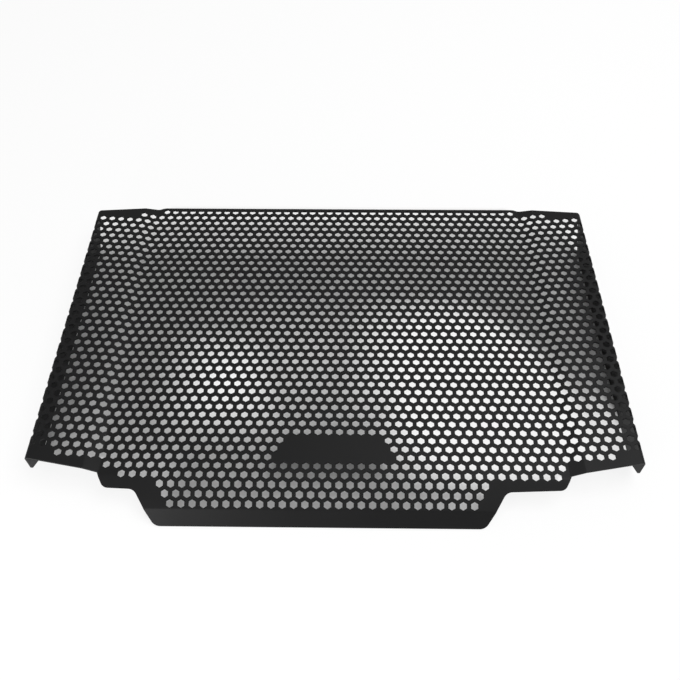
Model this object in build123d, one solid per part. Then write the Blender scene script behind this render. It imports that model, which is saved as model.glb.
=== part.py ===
from build123d import *
import os
from math import cos, floor, radians, sin, sqrt, tan

# Motorcycle radiator guard: one perforated aluminium sheet, cut to its outline and folded.
# It lies face up. X runs along its width, Y from the lower lip to the top edge, Z up.
# Until the last step Y is measured from the fold between centre panel and apron.

# Sheet and folds
sheet = 1.5               # thickness of the sheet
bend_radius = 1.5         # inside radius of every fold
panel_height = 19.0       # front face of the centre panel above the surface it lies on

# Centre panel
centre_width = 294.6      # between the two inner joggle folds
panel_length = 236.6      # apron fold to top fold
top_flange_inset = 4.5    # joggle fold to the end of the short flange along the top edge
top_flange_depth = 4.2    # front face to the free edge of that flange
top_flange_flare = 2.5    # lean of that flange's ends, to either side of top_flange_inset

# Side panels, one step above the centre panel and rising outwards
joggle_length = 10.1      # sloping strip between centre panel and side panel
joggle_angle = 17.6       # slope of that strip
side_width = 36.4         # outer joggle fold to flange fold
side_angle = 4.4          # slope of the side panel
shoulder_drop = 2.0       # side panel's top edge below the top fold, at the end of the top flange
shoulder_angle = 8.4      # fall of that edge outwards
skirt_rise = 1.6          # side panel's lower edge above the apron fold, where it leaves the joggle
skirt_angle = 8.45        # rise of that edge outwards

# Side flanges, folded square to the side panels and reaching down to the surface
flange_top_slant = 21.0   # slanted upper end, from its fold to the surface, measured along the flange
flange_toe_length = 12.6  # slanted lower end, measured along the flange
flange_toe_height = 9.0

# Apron and lip below the centre panel
apron_angle = 25.7        # apron against centre panel
apron_length = 20.0       # apron fold to lip fold
lip_angle = 24.5          # lip against apron
step_depth = 8.3          # apron fold to the edge beside the tongue, where it meets the tongue
step_angle = 2.2          # rise of that edge outwards
step_inset = 3.5          # joggle fold to the outer corner of that edge
step_radius = 5.0
left_step = 19.4          # length of that edge on the left of the tongue
right_step = 36.2         # and on its right
tongue_side_angle = 30.0  # lean of the tongue's sides
tongue_root_radius = 6.0
lip_corner_radius = 6.0

# Perforation, pointed hexagons in rows along X
grid_pitch = 15.4         # hole to hole along a row
hole_width = 9.9          # across the flats
edge_web = 1.6            # least metal between a hole and a fold or a cut edge
tongue_web = 15.0         # metal between the tongue's holes and its sides
patch_row = 1             # row with the blank patch, counted up from the apron fold
patch_holes = 4           # holes left out of that row

mid_radius = bend_radius + sheet / 2
mid_height = panel_height - sheet / 2
row_pitch = grid_pitch * sqrt(3) / 2
hole_radius = hole_width / sqrt(3)
centre_half = centre_width / 2
top_half = centre_half - top_flange_inset
step_half = centre_half - step_inset
tongue_left = left_step - step_half
tongue_right = step_half - right_step
tongue_middle = (tongue_left + tongue_right) / 2
far = centre_width + 2 * (joggle_length + side_width)


def slope(angle):
    return tan(radians(angle))


def step(start, length, angle):
    return start[0] + length * cos(radians(angle)), start[1] + length * sin(radians(angle))


def bend_setback(angle):
    return mid_radius * tan(radians(angle) / 2)


def folded_strip(points, plane, start, end):
    # A strip of sheet along a line of folds, reaching from start to end along the plane's normal
    section = trace(FilletPolyline(*points, radius=mid_radius), sheet)
    return extrude(plane.offset(start) * section, end - start)


def prism(points, plane, reach):
    return extrude(plane * make_face(Polyline(*points, close=True)), reach, both=True)


def hexagon_rows(half_width, low, high):
    # Centres of staggered holes about X = 0, in rows from low to high
    reach = half_width - hole_width / 2
    count = floor(half_width / grid_pitch) + 1
    rows = floor((high - low) / row_pitch + 1e-6) + 1
    points = []
    for row in range(rows):
        shift = grid_pitch / 2 * (row % 2)
        for column in range(-count, count + 1):
            x = column * grid_pitch + shift
            if abs(x) <= reach:
                points.append((x, low + row * row_pitch))
    return points


def perforate(solid, plane, points):
    hole = extrude(RegularPolygon(hole_radius, 6, rotation=90), sheet, both=True)
    return solid - [plane * Pos(x, y) * hole for x, y in points]


# Centre strip: top flange, centre panel, apron and lip in one line of folds
apron_fold = (0, mid_height)
lip_slope = apron_angle + lip_angle
apron_drop = apron_length * sin(radians(apron_angle))
lip_drop = mid_height - apron_drop - sheet / 2 * cos(radians(lip_slope))
lip_length = lip_drop / sin(radians(lip_slope))
lip_fold = step(apron_fold, apron_length, 180 + apron_angle)
lip_end = step(lip_fold, lip_length, 180 + lip_slope)
top_fold = (panel_length, mid_height)
top_end = (panel_length, panel_height - top_flange_depth)
joggle_setback = bend_setback(joggle_angle)
strip_half = centre_half - 2 * joggle_setback


def apron_cut(side, root):
    # What is cut away on one side of the tongue and round its lower corner, square to the apron
    reach = apron_length + lip_length * cos(radians(lip_angle)) + sheet / 2
    rise = (step_half - side * root) * slope(step_angle)
    outer = (side * step_half, rise - step_depth)
    inner = (root, -step_depth)
    corner = (root - side * (reach - step_depth) * slope(tongue_side_angle), -reach)
    outline = [
        (side * strip_half, 0),
        outer,
        inner,
        corner,
        (tongue_middle, -reach),
        (tongue_middle, -far),
        (side * far, -far),
        (side * far, 0),
    ]
    cut = make_face(Polyline(*outline, close=True))
    for point, radius in ((outer, step_radius), (inner, tongue_root_radius), (corner, lip_corner_radius)):
        cut = fillet(cut.vertices().sort_by_distance((*point, 0))[0], radius)
    return extrude(apron_plane * cut, far, both=True)


apron_normal = (0, -sin(radians(apron_angle)), cos(radians(apron_angle)))
apron_plane = Plane((0, *apron_fold), x_dir=(1, 0, 0), z_dir=apron_normal)

strip = folded_strip([top_end, top_fold, apron_fold, lip_fold, lip_end], Plane.YZ, -strip_half, strip_half)
strip = strip - [apron_cut(-1, tongue_left), apron_cut(1, tongue_right)]

# Centre panel holes, with the blank patch left out, and one row of holes in the tongue
hole_low = bend_setback(apron_angle) + edge_web + hole_radius
hole_high = panel_length - mid_radius - edge_web - hole_radius


def on_patch(x, y):
    in_row = abs(y - hole_low - patch_row * row_pitch) < row_pitch / 2
    return in_row and abs(x) < patch_holes * grid_pitch / 2


centre_holes = hexagon_rows(strip_half - edge_web, hole_low, hole_high)
centre_holes = [point for point in centre_holes if not on_patch(*point)]
strip = perforate(strip, Plane.XY.offset(mid_height), centre_holes)

tongue_row = -(apron_length - bend_setback(lip_angle) + bend_setback(apron_angle)) / 2
tongue_taper = (step_depth + tongue_row) * slope(tongue_side_angle)
tongue_half = (tongue_right - tongue_left) / 2 + tongue_taper - tongue_web
tongue_holes = hexagon_rows(tongue_half, tongue_row, tongue_row)
strip = perforate(strip, apron_plane, [(x + tongue_middle, y) for x, y in tongue_holes])

# Right wing: joggle, side panel and flange in one line of folds, then its cut edges
joggle_in = (centre_half, mid_height)
joggle_out = step(joggle_in, joggle_length, joggle_angle)
flange_fold = step(joggle_out, side_width, side_angle)
flange_length = (flange_fold[1] - sheet / 2 * sin(radians(side_angle))) / cos(radians(side_angle))
flange_end = step(flange_fold, flange_length, side_angle - 90)


def shoulder(x):
    return panel_length - shoulder_drop - (x - top_half) * slope(shoulder_angle)


def skirt(x):
    return skirt_rise + (x - strip_half) * slope(skirt_angle)


wing_line = [(strip_half, mid_height), joggle_in, joggle_out, flange_fold, flange_end]
wing = folded_strip(wing_line, Plane.XZ, -panel_length, 0)
flare_out = top_half + top_flange_flare
flare_in = top_half - top_flange_flare
shoulder_line = [
    (flare_out, shoulder(flare_out)),
    (far, shoulder(far)),
    (far, far),
    (flare_in, far),
    (flare_in, panel_length + sheet / 2),
]
skirt_line = [(top_half, skirt(top_half)), (far, skirt(far)), (far, -far), (top_half, -far)]
shoulder_cut = prism(shoulder_line, Plane.XY, far)
wing -= [shoulder_cut, prism(skirt_line, Plane.XY, far)]
strip -= [shoulder_cut, mirror(shoulder_cut, about=Plane.YZ)]

# The two ends of the flange
flange_top = shoulder(flange_fold[0])
flange_low = skirt(flange_fold[0])
slant_start = flange_top - flange_top_slant
toe_end = flange_low + flange_toe_length
slant_line = [
    (slant_start, 0),
    (flange_top, flange_fold[1]),
    (far, flange_fold[1]),
    (far, -far),
    (slant_start, -far),
]
toe_line = [
    (toe_end, 0),
    (flange_low, flange_toe_height),
    (-far, flange_toe_height),
    (-far, -far),
    (toe_end, -far),
]
flange_plane = Plane.YZ.offset(flange_fold[0] - mid_radius)
for line in (slant_line, toe_line):
    wing -= extrude(flange_plane * make_face(Polyline(*line, close=True)), far)

side_run = (cos(radians(side_angle)), 0, sin(radians(side_angle)))
side_normal = (-sin(radians(side_angle)), 0, cos(radians(side_angle)))
side_plane = Plane((joggle_out[0], 0, joggle_out[1]), x_dir=side_run, z_dir=side_normal)
side_low = bend_setback(joggle_angle - side_angle) + edge_web
side_high = side_width - mid_radius - edge_web
side_middle = (side_low + side_high) / 2
side_holes = []
for x, y in hexagon_rows((side_high - side_low) / 2, hole_low, hole_high):
    x = x + side_middle
    out = joggle_out[0] + x + hole_width / 2
    if skirt(out) + edge_web + hole_radius <= y <= shoulder(out) - edge_web - hole_radius:
        side_holes.append((x, y))
wing = perforate(wing, side_plane, side_holes)

# One sheet, with its origin under the middle of its box
guard_sheet = strip + [wing, mirror(wing, about=Plane.YZ)]
box = guard_sheet.bounding_box()
guard_sheet = Pos(-box.center().X, -box.center().Y, -box.min.Z) * guard_sheet

os.makedirs("parts", exist_ok=True)
export_step(guard_sheet, "parts/guard_sheet.step")
print("holes", len(centre_holes) + len(tongue_holes) + 2 * len(side_holes), "size", box.size)
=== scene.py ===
import bpy
import bmesh
import numpy as np
from math import atan2, copysign, cos, hypot, pi, radians, sin, sqrt, tan
from mathutils import Matrix, Vector


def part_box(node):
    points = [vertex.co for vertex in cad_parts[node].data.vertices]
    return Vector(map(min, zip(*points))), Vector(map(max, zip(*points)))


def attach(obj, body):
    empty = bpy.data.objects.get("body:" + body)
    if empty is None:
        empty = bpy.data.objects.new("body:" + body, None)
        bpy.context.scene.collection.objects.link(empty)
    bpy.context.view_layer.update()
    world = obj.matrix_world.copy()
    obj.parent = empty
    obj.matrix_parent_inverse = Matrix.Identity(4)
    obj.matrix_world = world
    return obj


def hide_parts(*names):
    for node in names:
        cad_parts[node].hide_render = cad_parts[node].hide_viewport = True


# Radiator guard: the sheet is drawn flat with its real hole grid, then folded to the frame's shape.
# The sheet's lengths are millimetres, p across the flat sheet and q up from the apron fold.
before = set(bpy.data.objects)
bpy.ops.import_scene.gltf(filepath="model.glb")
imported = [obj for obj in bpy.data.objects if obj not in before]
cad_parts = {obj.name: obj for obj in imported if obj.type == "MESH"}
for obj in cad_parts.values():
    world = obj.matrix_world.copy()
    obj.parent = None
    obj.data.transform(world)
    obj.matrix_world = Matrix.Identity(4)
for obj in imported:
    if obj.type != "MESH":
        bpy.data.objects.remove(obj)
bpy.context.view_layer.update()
mm = 0.001

sheetSizes = {
    "thickness": 1.5, "bendRadius": 1.5, "edgeBreak": 0.15,
    # Centre panel, joggles and side panels, between sharp fold lines
    "panelHeight": 19.0, "centreHalf": 147.3, "panelLength": 236.6,
    "joggleLength": 10.1, "joggleAngle": 17.6, "sideWidth": 36.65, "sideAngle": 4.4,
    # Cut edges above: the top flange with its flared ends, and the falling shoulders
    "topHalf": 142.8, "topFlange": 4.2, "topFlareOut": 3.0, "topFlareIn": 9.0, "topRadius": 4.0,
    "shoulderDrop": 2.0, "shoulderAngle": 8.4,
    # Cut edges below the side panels, and the slanted ends of their flanges
    "skirtStart": 148.4, "skirtRise": 1.87, "skirtAngle": 8.45,
    "slantLength": 21.0, "slantRadius": 6.0, "toeLength": 12.6, "toeHeight": 9.0, "flangeRadius": 1.6,
    # Apron with its steps, tongue and lip
    "apronAngle": 25.7, "apronLength": 20.0, "lipAngle": 24.5,
    "stepDepth": 8.3, "stepAngle": 2.2, "stepHalf": 143.8, "leftStep": 19.4, "rightStep": 36.2,
    "tongueLean": 30.0, "stepRadius": 5.0, "rootRadius": 6.0, "lipRadius": 6.0,
}

grille = {
    "pitch": 7.0, "holeWidth": 4.5, "rowZero": 116.5, "firstRow": -19, "lastRow": 22,
    "oddReach": 28.0, "evenReach": 27.5,  # last hole of odd and even rows, in pitches from the middle
    "foldInset": 0.8,  # the holes on the flange folds lie this much further in
    "shortRows": {  # first and last hole of the rows that end earlier, in pitches
        -19: (-20, 20), -18: (-22.5, 23.5), -17: (-27, 27), 17: (-25, 25), 18: (-20.5, 20.5),
        19: (-19, 20), 20: (-15.5, 13.5), 21: (-15, 13), 22: (-14.5, 12.5),
    },
    "patch": {15: 4, 16: 4.5, 17: 5},  # half width of the bare patch in these rows, in pitches
}

meshing = {
    "foldTurn": 11.0, "apronTurn": 8.0,  # degrees of a fold in one strip of faces
    "arcPieces": 1.4, "fewestPieces": 3,  # pieces of a rounded corner for each millimetre of its radius
    "mitreLimit": 0.4, "cutReach": 1e-7, "mergeReach": 0.000002, "sharpAngle": 28.0,
}

half = sheetSizes["thickness"] / 2
foldRadius = sheetSizes["bendRadius"] + half


def slope(angle):
    return tan(radians(angle))


def foldedLine(lengths, turns):
    # Straight runs and arcs of a folded section, from its lengths between sharp corners
    runs = []
    for k, length in enumerate(lengths):
        before = foldRadius * slope(abs(turns[k - 1]) / 2) if k else 0.0
        after = foldRadius * slope(abs(turns[k]) / 2) if k < len(turns) else 0.0
        runs.append((length - before - after, 0.0))
        if k < len(turns):
            runs.append((foldRadius * radians(abs(turns[k])), radians(turns[k])))
    return runs


def walkLine(runs, along):
    # Place and slope on the folded section after a length along the flat sheet
    across = np.zeros_like(along)
    rise = np.zeros_like(along)
    angle = np.zeros_like(along)
    left = along.copy()
    for k, (length, turn) in enumerate(runs):
        part = np.minimum(left, length) if k == 0 else np.clip(left, 0.0, length)
        turned = turn * part / length
        chord = part * np.sinc(turned / 2 / pi)
        across += chord * np.cos(angle + turned / 2)
        rise += chord * np.sin(angle + turned / 2)
        angle += turned
        left -= length
    return across, rise, angle


midHeight = sheetSizes["panelHeight"] - half
flangeFoldHeight = midHeight + sheetSizes["joggleLength"] * sin(radians(sheetSizes["joggleAngle"]))
flangeFoldHeight += sheetSizes["sideWidth"] * sin(radians(sheetSizes["sideAngle"]))
sideCos = cos(radians(sheetSizes["sideAngle"]))
flangeLength = (flangeFoldHeight - half * sin(radians(sheetSizes["sideAngle"]))) / sideCos
lipSlope = radians(sheetSizes["apronAngle"] + sheetSizes["lipAngle"])
apronDrop = sheetSizes["apronLength"] * sin(radians(sheetSizes["apronAngle"]))
lipDrop = midHeight - apronDrop - half * cos(lipSlope)
lipLength = lipDrop / sin(lipSlope)

# The apron side is walked downwards from the split line, the top side upwards
splitLine = sheetSizes["panelLength"] / 2
wingRuns = foldedLine(
    [sheetSizes["centreHalf"], sheetSizes["joggleLength"], sheetSizes["sideWidth"], flangeLength],
    [sheetSizes["joggleAngle"], sheetSizes["sideAngle"] - sheetSizes["joggleAngle"], -90.0],
)
tailRuns = foldedLine(
    [splitLine, sheetSizes["apronLength"], lipLength],
    [-sheetSizes["apronAngle"], -sheetSizes["lipAngle"]],
)
headRuns = foldedLine([sheetSizes["panelLength"] - splitLine, sheetSizes["topFlange"] - half], [-90.0])
flangeEdge = sum(length for length, turn in wingRuns)
lipEdge = splitLine - sum(length for length, turn in tailRuns)
topEdge = splitLine + sum(length for length, turn in headRuns)


def foldPoints(flat):
    # Flat points (p, q, height from the mid surface) to the folded sheet in the frame, all in millimetres
    p, q, h = flat.T
    outX, riseX, angleX = walkLine(wingRuns, np.abs(p))
    downY, riseDown, angleDown = walkLine(tailRuns, splitLine - q)
    upY, riseUp, angleUp = walkLine(headRuns, q - splitLine)
    below = q < splitLine
    angleY = np.where(below, -angleDown, angleUp)
    x = np.sign(p) * (outX - h * np.sin(angleX))
    y = splitLine + np.where(below, -downY, upY) - h * np.sin(angleY)
    z = midHeight + riseX + np.where(below, riseDown, riseUp) + h * (np.cos(angleX) + np.cos(angleY) - 1.0)
    return np.column_stack([x, y, z])


def foldSteps(runs, mostTurn):
    # For each fold, the places where the flat sheet is divided so that it comes out round
    folds = []
    start = 0.0
    for length, turn in runs:
        if turn:
            parts = max(2, round(abs(turn) / radians(mostTurn)))
            folds.append([start + length * k / parts for k in range(parts + 1)])
        start += length
    return folds


def shoulderAt(x):
    fall = (x - sheetSizes["topHalf"]) * slope(sheetSizes["shoulderAngle"])
    return sheetSizes["panelLength"] - sheetSizes["shoulderDrop"] - fall


def skirtAt(x):
    return sheetSizes["skirtRise"] + (x - sheetSizes["skirtStart"]) * slope(sheetSizes["skirtAngle"])


def halfOutline(stepLength):
    # Corners of one side from the middle of the lip up to the top flange, each with its radius
    stepHalf = sheetSizes["stepHalf"]
    root = stepHalf - stepLength
    foldIn = (sheetSizes["apronLength"] - sheetSizes["stepDepth"]) * slope(sheetSizes["tongueLean"])
    lipIn = lipLength * cos(radians(sheetSizes["lipAngle"])) * slope(sheetSizes["tongueLean"])
    stepEnd = stepLength * slope(sheetSizes["stepAngle"]) - sheetSizes["stepDepth"]
    corners = [
        (root - foldIn - lipIn, lipEdge, sheetSizes["lipRadius"]),
        (root - foldIn, -sheetSizes["apronLength"], 0),
        (root, -sheetSizes["stepDepth"], sheetSizes["rootRadius"]),
        (stepHalf, stepEnd, sheetSizes["stepRadius"]),
        (sheetSizes["skirtStart"], sheetSizes["skirtRise"], 0),
    ]
    places = np.concatenate(foldSteps(wingRuns, 90.0))
    plan = walkLine(wingRuns, places)[0]
    lowFlange = skirtAt(plan[-1])
    topFlange = shoulderAt(plan[-1])
    bendEnd = places[-1]

    def flangePlace(height):
        return bendEnd + (flangeFoldHeight - height) / sideCos - foldRadius

    corners += [(place, skirtAt(x), 0) for place, x in zip(places, plan)]
    corners += [
        (flangePlace(sheetSizes["toeHeight"]), lowFlange, sheetSizes["flangeRadius"]),
        (flangeEdge, lowFlange + sheetSizes["toeLength"], sheetSizes["flangeRadius"]),
        (flangeEdge, topFlange - sheetSizes["slantLength"], sheetSizes["flangeRadius"]),
        (flangePlace(flangeFoldHeight), topFlange, sheetSizes["slantRadius"]),
    ]
    corners += [(place, shoulderAt(x), 0) for place, x in zip(places[-4::-1], plan[-4::-1])]
    flareOut = sheetSizes["topHalf"] + sheetSizes["topFlareOut"]
    flareIn = sheetSizes["topHalf"] - sheetSizes["topFlareIn"]
    corners += [
        (flareOut, shoulderAt(flareOut), sheetSizes["topRadius"]),
        (flareIn, topEdge, sheetSizes["flangeRadius"]),
    ]
    return corners


def roundCorners(corners):
    # Outline points with each corner replaced by an arc of its radius
    points = []
    count = len(corners)
    for k, (x, y, radius) in enumerate(corners):
        here = Vector((x, y))
        if not radius:
            points.append(here)
            continue
        toBefore = (Vector(corners[k - 1][:2]) - here).normalized()
        toAfter = (Vector(corners[(k + 1) % count][:2]) - here).normalized()
        turn = pi - toBefore.angle(toAfter)
        setback = radius * tan(turn / 2)
        centre = here + (toBefore + toAfter).normalized() * hypot(radius, setback)
        first = here + toBefore * setback - centre
        last = here + toAfter * setback - centre
        sweep = atan2(first.cross(last), first.dot(last))
        pieces = max(meshing["fewestPieces"], round(radius * meshing["arcPieces"]))
        for step in range(pieces + 1):
            points.append(centre + Matrix.Rotation(sweep * step / pieces, 2) @ first)
    return points


def insetLoop(points, distance):
    # The same loop moved inwards, for the broken edge
    moved = []
    for k, here in enumerate(points):
        before = (here - points[k - 1]).normalized()
        after = (points[(k + 1) % len(points)] - here).normalized()
        normal = Vector((-before.y - after.y, before.x + after.x)).normalized()
        mitre = max(meshing["mitreLimit"], normal.dot(Vector((-before.y, before.x))))
        moved.append(here + normal * distance / mitre)
    return moved


def holeCentres():
    rowPitch = grille["pitch"] * sqrt(3) / 2
    centres = []
    for row in range(grille["firstRow"], grille["lastRow"] + 1):
        reach = grille["oddReach"] if row % 2 else grille["evenReach"]
        first, last = grille["shortRows"].get(row, (-reach, reach))
        bare = grille["patch"].get(row, -1)
        for column in range(int(last - first) + 1):
            place = first + column
            if abs(place) <= bare:
                continue
            x = place * grille["pitch"]
            if abs(place) == grille["oddReach"]:
                x -= copysign(grille["foldInset"], x)
            centres.append((x, grille["rowZero"] - row * rowPitch))
    return centres


# The flat sheet's cut edge as three narrow bands, and a loose point for each hole
rightSide = halfOutline(sheetSizes["rightStep"])
leftSide = halfOutline(sheetSizes["leftStep"])
cutLoop = roundCorners(rightSide + [(-x, y, radius) for x, y, radius in reversed(leftSide)])
faceLoop = insetLoop(cutLoop, sheetSizes["edgeBreak"])
centres = holeCentres()
print("outline points", len(cutLoop), "holes", len(centres))

flatMesh = bpy.data.meshes.new("flatSheet")
drawing = bmesh.new()
faceMark = drawing.edges.layers.bool.new("faceEdge")
holeMark = drawing.verts.layers.bool.new("holeCentre")
wallTop = half - sheetSizes["edgeBreak"]
rings = []
for loop, height in ((faceLoop, half), (cutLoop, wallTop), (cutLoop, -wallTop), (faceLoop, -half)):
    rings.append([drawing.verts.new((point.x * mm, point.y * mm, height * mm)) for point in loop])
for upper, lower in zip(rings, rings[1:]):
    for k in range(len(upper)):
        drawing.faces.new((upper[k - 1], lower[k - 1], lower[k], upper[k]))
for k in range(len(faceLoop)):
    drawing.edges.get((rings[0][k - 1], rings[0][k]))[faceMark] = True
for x, y in centres:
    drawing.verts.new((x * mm, y * mm, 0.0))[holeMark] = True
drawing.to_mesh(flatMesh)
drawing.free()
guard = bpy.data.objects.new("perforatedSheet", flatMesh)
bpy.context.scene.collection.objects.link(guard)


def addNode(tree, kind, links=(), **settings):
    node = tree.nodes.new(kind)
    for name, value in settings.items():
        setattr(node, name, value)
    for socket, source in links:
        if isinstance(source, bpy.types.NodeSocket):
            tree.links.new(source, node.inputs[socket])
        else:
            node.inputs[socket].default_value = source
    return node


def mathNode(tree, operation, first, second):
    return addNode(tree, "ShaderNodeMath", [(0, first), (1, second)], operation=operation).outputs[0]


coat = {
    "colour": (0.0054, 0.0054, 0.0056), "highColour": (0.0076, 0.0076, 0.0079), "gloss": 0.17,
    "roughness": (0.46, 0.56), "toneScale": 26.0, "toneDetail": 5.0, "toneRange": (0.3, 0.7),
    "peelScale": 900.0, "peelDetail": 2.0, "peelHeight": 0.00004,
}


def coatMaterial():
    # Satin black powder coat: fine orange peel, and a faint drift of tone and gloss
    material = bpy.data.materials.new("satinPowderCoat")
    material.use_nodes = True
    tree = material.node_tree
    tree.nodes.clear()
    place = addNode(tree, "ShaderNodeTexCoord").outputs["Object"]
    noises = []
    for name in ("tone", "peel"):
        sizes = [("Scale", coat[name + "Scale"]), ("Detail", coat[name + "Detail"])]
        noises.append(addNode(tree, "ShaderNodeTexNoise", [("Vector", place)] + sizes).outputs["Fac"])
    tone, peel = noises
    colour = addNode(tree, "ShaderNodeMix", [("Factor", tone)], data_type="RGBA")
    colour.inputs["A"].default_value = (*coat["colour"], 1.0)
    colour.inputs["B"].default_value = (*coat["highColour"], 1.0)
    rough = addNode(
        tree, "ShaderNodeMapRange",
        [
            ("Value", tone), ("From Min", coat["toneRange"][0]), ("From Max", coat["toneRange"][1]),
            ("To Min", coat["roughness"][0]), ("To Max", coat["roughness"][1]),
        ],
    )
    bump = addNode(tree, "ShaderNodeBump", [("Height", peel), ("Distance", coat["peelHeight"])])
    shader = addNode(
        tree, "ShaderNodeBsdfPrincipled",
        [("Normal", bump.outputs["Normal"]), ("Specular IOR Level", coat["gloss"])],
    )
    tree.links.new(colour.outputs["Result"], shader.inputs["Base Color"])
    tree.links.new(rough.outputs["Result"], shader.inputs["Roughness"])
    addNode(tree, "ShaderNodeOutputMaterial", [("Surface", shader.outputs["BSDF"])])
    return material


powderCoat = coatMaterial()


def grilleTree():
    # Cuts the hole grid into the flat sheet: both faces with hexagon openings, and a sleeve in each hole
    tree = bpy.data.node_groups.new("hexagonGrille", "GeometryNodeTree")
    sockets = tree.interface
    sockets.new_socket("Geometry", in_out="INPUT", socket_type="NodeSocketGeometry")
    for name in ("holeWidth", "thickness", "edgeBreak"):
        sockets.new_socket(name, in_out="INPUT", socket_type="NodeSocketFloat")
    sockets.new_socket("coat", in_out="INPUT", socket_type="NodeSocketMaterial")
    sockets.new_socket("Geometry", in_out="OUTPUT", socket_type="NodeSocketGeometry")
    given = addNode(tree, "NodeGroupInput").outputs
    cornerScale = 1.0 / sqrt(3)  # corner radius of a hexagon for each unit across its flats
    holeRadius = mathNode(tree, "MULTIPLY", given["holeWidth"], cornerScale)
    breakOut = mathNode(tree, "MULTIPLY", given["edgeBreak"], 2.0 * cornerScale)
    mouthRadius = mathNode(tree, "ADD", holeRadius, breakOut)
    halfSheet = mathNode(tree, "MULTIPLY", given["thickness"], 0.5)
    bothBreaks = mathNode(tree, "MULTIPLY", given["edgeBreak"], 2.0)
    wallDepth = mathNode(tree, "SUBTRACT", given["thickness"], bothBreaks)
    wallHalf = mathNode(tree, "MULTIPLY", wallDepth, 0.5)

    def marked(name):
        kind = "GeometryNodeInputNamedAttribute"
        return addNode(tree, kind, [("Name", name)], data_type="BOOLEAN").outputs[0]

    isHole = marked("holeCentre")
    isEdge = marked("faceEdge")
    parts = addNode(
        tree, "GeometryNodeSeparateGeometry",
        [("Geometry", given["Geometry"]), ("Selection", isHole)], domain="POINT",
    ).outputs
    holes, bands = parts["Selection"], parts["Inverted"]

    upright = (0.0, 0.0, radians(30.0))
    ring = addNode(
        tree, "GeometryNodeCurvePrimitiveCircle",
        [("Resolution", 6), ("Radius", mouthRadius)], mode="RADIUS",
    ).outputs["Curve"]
    ring = addNode(tree, "GeometryNodeTransform", [("Geometry", ring), ("Rotation", upright)]).outputs[0]
    mouths = addNode(tree, "GeometryNodeInstanceOnPoints", [("Points", holes), ("Instance", ring)]).outputs[0]
    mouths = addNode(tree, "GeometryNodeRealizeInstances", [("Geometry", mouths)]).outputs[0]
    rim = addNode(tree, "GeometryNodeMeshToCurve", [("Mesh", bands), ("Selection", isEdge)]).outputs[0]
    drawn = addNode(tree, "GeometryNodeJoinGeometry")
    tree.links.new(rim, drawn.inputs[0])
    tree.links.new(mouths, drawn.inputs[0])
    faces = addNode(tree, "GeometryNodeFillCurve", [("Curve", drawn.outputs[0])], mode="TRIANGLES").outputs[0]

    def lifted(geometry, height):
        offset = addNode(tree, "ShaderNodeCombineXYZ", [("Z", height)]).outputs[0]
        moves = [("Geometry", geometry), ("Translation", offset)]
        return addNode(tree, "GeometryNodeTransform", moves).outputs[0]

    def flipped(geometry):
        return addNode(tree, "GeometryNodeFlipFaces", [("Mesh", geometry)]).outputs[0]

    front = lifted(faces, halfSheet)
    back = lifted(flipped(faces), mathNode(tree, "MULTIPLY", halfSheet, -1.0))

    wall = addNode(
        tree, "GeometryNodeMeshCylinder",
        [("Vertices", 6), ("Radius", holeRadius), ("Depth", wallDepth)], fill_type="NONE",
    ).outputs["Mesh"]
    upper = addNode(
        tree, "GeometryNodeMeshCone",
        [
            ("Vertices", 6), ("Depth", given["edgeBreak"]),
            ("Radius Top", mouthRadius), ("Radius Bottom", holeRadius),
        ],
        fill_type="NONE",
    ).outputs["Mesh"]
    upper = lifted(upper, wallHalf)
    turned = [("Geometry", upper), ("Scale", (1.0, 1.0, -1.0))]
    lower = addNode(tree, "GeometryNodeTransform", turned).outputs[0]
    sleeve = addNode(tree, "GeometryNodeJoinGeometry")
    for piece in (flipped(wall), flipped(upper), lower):  # mirroring has already turned the lower one
        tree.links.new(piece, sleeve.inputs[0])
    turned = [("Geometry", sleeve.outputs[0]), ("Rotation", upright)]
    sleeve = addNode(tree, "GeometryNodeTransform", turned).outputs[0]
    placed = [("Points", holes), ("Instance", sleeve)]
    sleeves = addNode(tree, "GeometryNodeInstanceOnPoints", placed).outputs[0]

    whole = addNode(tree, "GeometryNodeJoinGeometry")
    for piece in (bands, front, back, sleeves):
        tree.links.new(piece, whole.inputs[0])
    whole = whole.outputs[0]
    for kind, values in (
        ("GeometryNodeRealizeInstances", []),
        ("GeometryNodeMergeByDistance", [("Distance", meshing["mergeReach"])]),
        ("GeometryNodeSetMaterial", [("Material", given["coat"])]),
    ):
        whole = addNode(tree, kind, [("Geometry", whole)] + values).outputs[0]
    addNode(tree, "NodeGroupOutput", [(0, whole)])
    return tree


def meshFromTree(target, tree, values):
    # Runs the tree on the object and keeps the result as its plain mesh
    modifier = target.modifiers.new(tree.name, "NODES")
    modifier.node_group = tree
    for item in tree.interface.items_tree:
        if item.in_out == "INPUT" and item.name in values:
            modifier[item.identifier] = values[item.name]
    bpy.context.view_layer.update()
    graph = bpy.context.evaluated_depsgraph_get()
    made = bpy.data.meshes.new_from_object(target.evaluated_get(graph), depsgraph=graph)
    target.modifiers.remove(modifier)
    target.data = made
    return made


sheetMesh = meshFromTree(guard, grilleTree(), {
    "holeWidth": grille["holeWidth"] * mm,
    "thickness": sheetSizes["thickness"] * mm,
    "edgeBreak": sheetSizes["edgeBreak"] * mm,
    "coat": powderCoat,
})
sheetMesh.name = "perforatedSheet"
print("flat sheet faces", len(sheetMesh.polygons), "points", len(sheetMesh.vertices))


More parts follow.
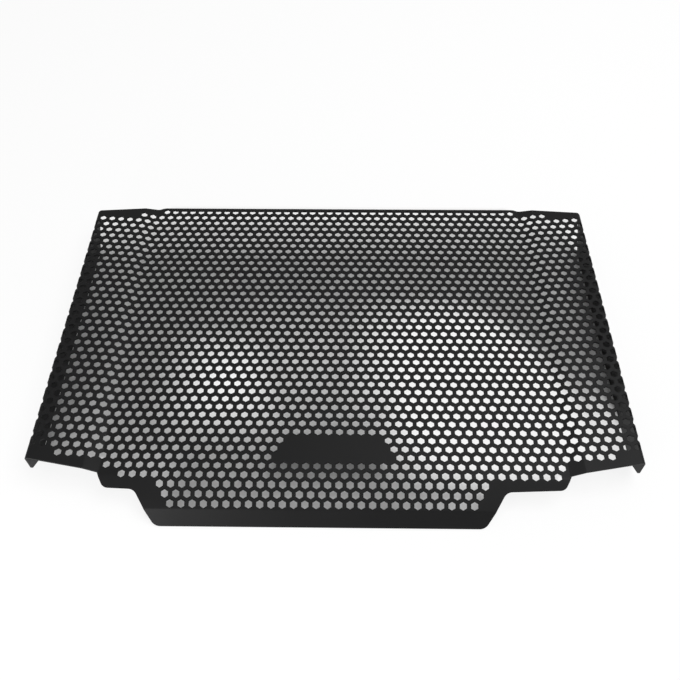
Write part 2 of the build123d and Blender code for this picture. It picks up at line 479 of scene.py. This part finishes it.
def divideFold(work, axis, places):
    # Cuts the faces that cross one fold along its lines, so that it comes out round
    first, last = min(places), max(places)
    parts = set()
    for face in work.faces:
        reach = [vert.co[axis] for vert in face.verts]
        if min(reach) <= last and max(reach) >= first:
            parts.add(face)
            parts.update(face.edges)
            parts.update(face.verts)
    normal = Vector((0.0, 0.0, 0.0))
    normal[axis] = 1.0
    parts = list(parts)
    for place in places:
        cut = bmesh.ops.bisect_plane(
            work, geom=parts, dist=meshing["cutReach"], plane_co=normal * place, plane_no=normal,
        )
        parts = cut["geom"]


def foldSheet(mesh):
    # Divides the flat mesh along its folds and gives its points in the folded sheet
    work = bmesh.new()
    work.from_mesh(mesh)
    for fold in foldSteps(wingRuns, meshing["foldTurn"]):
        for side in (-mm, mm):
            divideFold(work, 0, [side * place for place in fold])
    for fold in foldSteps(tailRuns, meshing["apronTurn"]):
        divideFold(work, 1, [(splitLine - place) * mm for place in fold])
    for fold in foldSteps(headRuns, meshing["foldTurn"]):
        divideFold(work, 1, [(splitLine + place) * mm for place in fold])
    bmesh.ops.triangulate(work, faces=[face for face in work.faces if len(face.verts) > 4])
    work.to_mesh(mesh)
    work.free()
    flat = np.empty(len(mesh.vertices) * 3)
    mesh.vertices.foreach_get("co", flat)
    return foldPoints(flat.reshape(-1, 3) / mm)


folded = foldSheet(sheetMesh)
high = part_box("guard_sheet")[1]
folded[:, 1] += high.y / mm - folded[:, 1].max()  # its top edge lies where the frame has it
sheetMesh.vertices.foreach_set("co", (folded * mm).ravel())
sheetMesh.update()
sheetMesh.validate()
sheetMesh.polygons.foreach_set("use_smooth", [True] * len(sheetMesh.polygons))
sheetMesh.set_sharp_from_angle(angle=radians(meshing["sharpAngle"]))
triangles = sum(len(polygon.vertices) - 2 for polygon in sheetMesh.polygons)
print("folded sheet triangles", triangles)

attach(guard, "root")
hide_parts("guard_sheet")

floorLook = {
    "size": 6000.0, "colour": 0.9,
    "openLift": 0.84,  # how far the open floor is carried to plain white; the rest keeps the shadow
    "shade": [  # where the floor lies under the guard and isn't carried: low x, high x, low y, high y
        (-206.0, 206.0, -89.0, 148.0), (-158.0, 158.0, -97.0, 148.0),
        (-147.0, 147.0, -107.0, 154.0), (-120.0, 100.0, -127.0, 154.0),
    ],
    "shadeSoft": 6.0,
    "roundness": 3.0,  # of the pools below: 2 is an ellipse, more is squarer
    "paintedGlow": [  # painted pools of light under the guard: white seen by the eye mixed into the floor
        {"middle": (100.5, -29.5), "half": (66.5, 73.0), "spread": 0.29, "soft": 0.27, "level": 0.88},
        {"middle": (79.5, -8.0), "half": (60.5, 45.5), "spread": 0.28, "soft": 0.67, "level": 0.90},
        {"middle": (-78.0, -24.0), "half": (30.5, 32.5), "spread": 0.05, "soft": 0.95, "level": 0.85},
        {"middle": (-33.0, -9.0), "half": (52.5, 39.5), "spread": -0.16, "soft": 0.95, "level": 0.30},
        {"middle": (-100.0, 122.5), "half": (400.0, 18.0), "spread": 0.0, "soft": 0.95, "level": 0.25},
        {"middle": (193.0, -122.0), "half": (27.0, 86.5), "spread": 0.16, "soft": 0.25, "level": 0.67},
        {"middle": (120.0, -118.0), "half": (54.5, 8.0), "spread": -0.1, "soft": 0.95, "level": 0.30},
        {"middle": (-50.0, -117.0), "half": (75.0, 6.0), "spread": 0.0, "soft": 0.9, "level": 0.08},
        {"middle": (-2.0, -90.0), "half": (36.0, 5.0), "spread": 0.0, "soft": 0.6, "level": 0.055},
    ],
    "paintedShade": [  # painted shade: floor colour darkened beside the flanges and under the far right corner
        {"middle": (-252.0, 14.0), "half": (77.0, 169.0), "spread": 0.19, "soft": 0.41, "level": 0.29},
        {"middle": (249.0, 2.5), "half": (68.0, 70.0), "spread": 0.8, "soft": 0.69, "level": 0.47},
        {"middle": (190.0, 150.0), "half": (80.0, 22.0), "spread": 0.0, "soft": 0.9, "level": 0.24},
    ],
}


def ramp(tree, value, start, end):
    # Smooth step from 0 at start to 1 at end
    node = addNode(
        tree, "ShaderNodeMapRange",
        [("Value", value), ("From Min", start), ("From Max", end)], interpolation_type="SMOOTHSTEP",
    )
    return node.outputs["Result"]


def band(tree, value, low, high):
    # 1 between low and high, with soft ends inside
    soft = floorLook["shadeSoft"]
    first = ramp(tree, value, low, low + soft)
    return mathNode(tree, "MULTIPLY", first, ramp(tree, value, high, high - soft))


def poolMask(tree, x, y, pool):
    # Soft rounded patch about the pool's middle, which grows wider towards the front by its spread
    away = mathNode(tree, "SUBTRACT", pool["middle"][1], y)
    wider = mathNode(tree, "MULTIPLY", away, pool["spread"])
    side = mathNode(tree, "SUBTRACT", mathNode(tree, "SUBTRACT", x, pool["middle"][0]), wider)
    reach = mathNode(tree, "MAXIMUM", mathNode(tree, "ADD", wider, pool["half"][0]), 1.0)
    powers = []
    for offset, most in ((side, reach), (away, pool["half"][1])):
        share = mathNode(tree, "DIVIDE", mathNode(tree, "ABSOLUTE", offset, 0.0), most)
        powers.append(mathNode(tree, "POWER", share, floorLook["roundness"]))
    distance = mathNode(tree, "POWER", mathNode(tree, "ADD", *powers), 1.0 / floorLook["roundness"])
    mask = ramp(tree, distance, 1.0 + pool["soft"], 1.0 - pool["soft"])
    return mathNode(tree, "MULTIPLY", mask, pool["level"])


def floorMaterial():
    # Pale floor: plain white to the eye where it is open, in its own shade under the guard, with painted
    # pools of light and painted shade added there
    material = bpy.data.materials.new("paleFloor")
    material.use_nodes = True
    tree = material.node_tree
    tree.nodes.clear()
    place = addNode(tree, "ShaderNodeTexCoord").outputs["Object"]
    place = addNode(tree, "ShaderNodeVectorMath", [(0, place), ("Scale", 1.0 / mm)], operation="SCALE")
    x, y = addNode(tree, "ShaderNodeSeparateXYZ", [(0, place.outputs[0])]).outputs[:2]
    shade = 0.0
    for left, right, front, back in floorLook["shade"]:
        box = mathNode(tree, "MULTIPLY", band(tree, x, left, right), band(tree, y, front, back))
        shade = mathNode(tree, "MAXIMUM", shade, box)
    lift = mathNode(tree, "MULTIPLY", mathNode(tree, "SUBTRACT", 1.0, shade), floorLook["openLift"])
    # painted light: these pools carry the floor under the guard towards white
    for pool in floorLook["paintedGlow"]:
        lift = mathNode(tree, "MAXIMUM", lift, poolMask(tree, x, y, pool))
    # painted shade: the floor's colour is darkened in these pools under the guard
    paintedShade = 0.0
    for pool in floorLook["paintedShade"]:
        paintedShade = mathNode(tree, "MAXIMUM", paintedShade, poolMask(tree, x, y, pool))
    paintedShade = mathNode(tree, "MULTIPLY", paintedShade, shade)
    grey = mathNode(tree, "MULTIPLY", mathNode(tree, "SUBTRACT", 1.0, paintedShade), floorLook["colour"])
    path = addNode(tree, "ShaderNodeLightPath").outputs
    seen = mathNode(tree, "MAXIMUM", path["Is Camera Ray"], path["Is Glossy Ray"])
    seen = mathNode(tree, "MAXIMUM", seen, path["Is Transmission Ray"])
    diffuse = addNode(tree, "ShaderNodeBsdfDiffuse", [("Color", grey)])
    white = addNode(tree, "ShaderNodeEmission", [("Color", (1.0, 1.0, 1.0, 1.0)), ("Strength", 1.0)])
    mixed = addNode(
        tree, "ShaderNodeMixShader",
        [(0, mathNode(tree, "MULTIPLY", seen, lift)), (1, diffuse.outputs[0]), (2, white.outputs[0])],
    )
    addNode(tree, "ShaderNodeOutputMaterial", [("Surface", mixed.outputs[0])])
    return material


floorMesh = bpy.data.meshes.new("studioFloor")
edge = floorLook["size"] * mm / 2
floorCorners = [(-edge, -edge, 0), (edge, -edge, 0), (edge, edge, 0), (-edge, edge, 0)]
floorMesh.from_pydata(floorCorners, [], [(0, 1, 2, 3)])
floorMesh.materials.append(floorMaterial())
floor = bpy.data.objects.new("studioFloor", floorMesh)
bpy.context.scene.collection.objects.link(floor)

studio = {
    "world": (1.0, 1.0, 1.0), "worldStrength": 0.50,
    "lamps": [
        {
            "name": "overheadSoftbox", "place": (550.0, 0.0, 1250.0), "aim": (50.0, 0.0, 0.0),
            "size": (1000.0, 1000.0), "power": 13.0,
        },
        {
            "name": "frontSoftbox", "place": (-270.0, -420.0, 100.0), "aim": (-100.0, -100.0, 0.0),
            "size": (120.0, 120.0), "power": 0.8,
        },
    ],
}


def aimed(thing, place, aim, roll=0.0):
    # Sets a lamp or camera at a place in millimetres, turned to its aim and rolled in degrees
    thing.location = Vector(place) * mm
    turn = (Vector(aim) - Vector(place)).to_track_quat("-Z", "Y").to_matrix()
    thing.rotation_euler = (turn @ Matrix.Rotation(radians(roll), 3, "Z")).to_euler()


for lamp in studio["lamps"]:
    light = bpy.data.lights.new(lamp["name"], "AREA")
    light.shape = "RECTANGLE"
    light.size, light.size_y = [length * mm for length in lamp["size"]]
    light.energy = lamp["power"]
    lightObject = bpy.data.objects.new(lamp["name"], light)
    lightObject.visible_camera = False
    bpy.context.scene.collection.objects.link(lightObject)
    aimed(lightObject, lamp["place"], lamp["aim"])

world = bpy.data.worlds.new("studioWorld")
world.use_nodes = True
background = world.node_tree.nodes["Background"]
background.inputs["Color"].default_value = (*studio["world"], 1.0)
background.inputs["Strength"].default_value = studio["worldStrength"]
bpy.context.scene.world = world
print("studio lamps", [lamp["name"] for lamp in studio["lamps"]])

view = {
    "eye": (8.1, -284.17, 418.8), "aim": (2.9, -1.27, 19.0), "roll": -0.456,
    "lens": 36.54, "sensor": 36.0, "nearest": 10.0,
}
camera = bpy.data.cameras.new("photoCamera")
camera.sensor_width = view["sensor"]
camera.lens = view["lens"]
camera.clip_start = view["nearest"] * mm
cameraObject = bpy.data.objects.new("photoCamera", camera)
bpy.context.scene.collection.objects.link(cameraObject)
aimed(cameraObject, view["eye"], view["aim"], view["roll"])
bpy.context.scene.camera = cameraObject
bpy.context.scene.view_settings.view_transform = "Standard"
